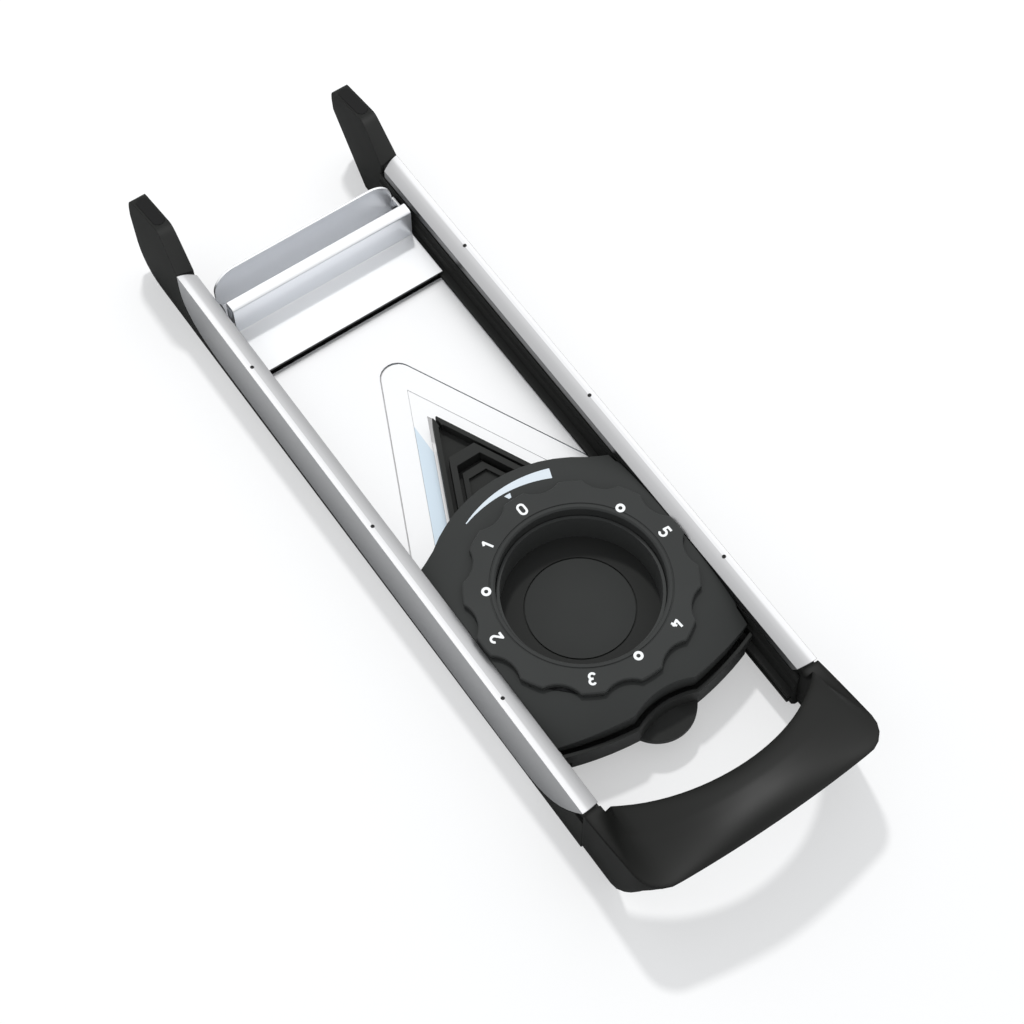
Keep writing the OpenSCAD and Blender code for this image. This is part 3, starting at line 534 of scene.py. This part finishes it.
def print_housing(materials, housing):
    """The pointer and the wedge, laid on the housing's top."""
    low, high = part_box("dial")
    centre = Vector((0, (low[1] + high[1]) / 2))

    def place(radius, angle):
        spot = centre + around(radius, angle) * MM
        hit, point, _, _ = housing.ray_cast((spot.x, spot.y, high[2] + PROBE_HEIGHT), (0, 0, -1))
        return point + Vector((0, 0, PRINT * MM)) if hit else Vector((spot.x, spot.y, high[2]))

    pointer = flat_mesh("pointer", [place(radius, angle) for radius, angle in POINTER], [(0, 1, 2, 3)])
    new_piece("pointer", pointer, materials["wedge"], "frame")

    long, wide = WEDGE_CELLS
    points = []
    for i in range(long + 1):
        inner, outer, angle = (between(ends, i / long) for ends in (WEDGE_INNER, WEDGE_OUTER, WEDGE_ANGLES))
        points += [place(between((inner, outer), k / wide), angle) for k in range(wide + 1)]
    faces = []
    for i in range(long):
        for k in range(wide):
            corner = i * (wide + 1) + k
            faces.append((corner, corner + 1, corner + wide + 2, corner + wide + 1))
    new_piece("wedge", flat_mesh("wedge", points, faces), materials["wedge"], "frame")


# ---- studio ----


def add_camera():
    turn, tilt, roll = (math.radians(degrees) for degrees in (AZIMUTH, ELEVATION, ROLL))
    back = Vector((math.sin(turn) * math.cos(tilt), -math.cos(turn) * math.cos(tilt), math.sin(tilt)))
    right = Vector((math.cos(turn), math.sin(turn), 0))
    up = back.cross(right)
    x = right * math.cos(roll) + up * math.sin(roll)
    y = up * math.cos(roll) - right * math.sin(roll)
    data = bpy.data.cameras.new("camera")
    data.lens = LENS
    data.sensor_width = SENSOR
    data.clip_end = CLIP_END
    camera = bpy.data.objects.new("camera", data)
    place = LOOK_AT + back * DISTANCE
    camera.matrix_world = Matrix.Translation(place) @ Matrix((x, y, back)).transposed().to_4x4()
    link_object(camera)
    bpy.context.scene.camera = camera


def add_floor():
    """A white floor that shows the camera only part of its shadows' depth."""
    signs = ((-1, -1), (1, -1), (1, 1), (-1, 1))
    corners = [(x * FLOOR_REACH, y * FLOOR_REACH, -FLOOR_DROP) for x, y in signs]
    mesh = flat_mesh("floor", corners, [(0, 1, 2, 3)])
    floor = bpy.data.objects.new("floor", mesh)
    link_object(floor)
    paint = Paint("floor", FLOOR_COLOUR, 0.9, Specular_IOR_Level=0.0)
    glow = paint.add("ShaderNodeEmission", {"Color": WHITE, "Strength": 1.0})
    share = paint.math("MULTIPLY", (paint.add("ShaderNodeLightPath"), "Is Camera Ray"), FLOOR_GLOW)
    mix = paint.add("ShaderNodeMixShader", {"Fac": share, 1: paint.shader, 2: glow})
    paint.feed(paint.tree.nodes["Material Output"], "Surface", mix)
    mesh.materials.append(paint.material)


def add_lamp(name, place, size, power, diffuse=True, glossy=True):
    data = bpy.data.lights.new(name, "AREA")
    data.shape = "DISK"
    data.size = size
    data.energy = power
    lamp = bpy.data.objects.new(name, data)
    lamp.location = place
    lamp.rotation_euler = (-Vector(place)).to_track_quat("-Z", "Y").to_euler()
    lamp.visible_diffuse = diffuse
    lamp.visible_glossy = glossy
    link_object(lamp)
    return lamp


def add_world():
    """White for the camera and in mirrors, and a soft even light on everything else."""
    world = bpy.data.worlds.new("studio")
    bpy.context.scene.world = world
    world.use_nodes = True
    tree = Tree(world.node_tree)
    soft = tree.tree.nodes["Background"]
    tree.feed(soft, "Color", SKY)
    tree.feed(soft, "Strength", SKY_STRENGTH)
    white = tree.add("ShaderNodeBackground", {"Color": WHITE, "Strength": 1.0})
    rays = tree.add("ShaderNodeLightPath")
    seen = tree.math("MAXIMUM", (rays, "Is Camera Ray"), (rays, "Is Glossy Ray"))
    shown = tree.math("MAXIMUM", seen, (rays, "Is Transmission Ray"))
    mix = tree.add("ShaderNodeMixShader", {"Fac": shown, 1: soft, 2: white})
    tree.feed(tree.tree.nodes["World Output"], "Surface", mix)


def add_studio(nodes):
    add_camera()
    add_floor()
    add_world()
    add_lamp("key", KEY_PLACE, KEY_SIZE, KEY_POWER, glossy=False)
    sheen = add_lamp("sheen", SHEEN_PLACE, SHEEN_SIZE, SHEEN_POWER, diffuse=False)
    receivers = bpy.data.collections.new("satin_plastics")
    for name in NODE_PAINT["handle"] + NODE_PAINT["rail"]:
        receivers.objects.link(nodes[name])
    sheen.light_linking.receiver_collection = receivers
    bpy.context.scene.view_settings.view_transform = "Standard"


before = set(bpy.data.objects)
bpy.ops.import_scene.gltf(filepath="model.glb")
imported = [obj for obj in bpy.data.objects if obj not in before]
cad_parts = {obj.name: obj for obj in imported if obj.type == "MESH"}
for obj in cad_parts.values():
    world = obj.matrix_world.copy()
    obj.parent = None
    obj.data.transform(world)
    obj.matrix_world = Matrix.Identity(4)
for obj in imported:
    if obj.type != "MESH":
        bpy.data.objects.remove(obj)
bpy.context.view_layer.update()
paints = make_materials()
paint_nodes(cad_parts, paints)
smooth_nodes(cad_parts)
print_dial(paints)
print_housing(paints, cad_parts["housing"])
add_studio(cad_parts)
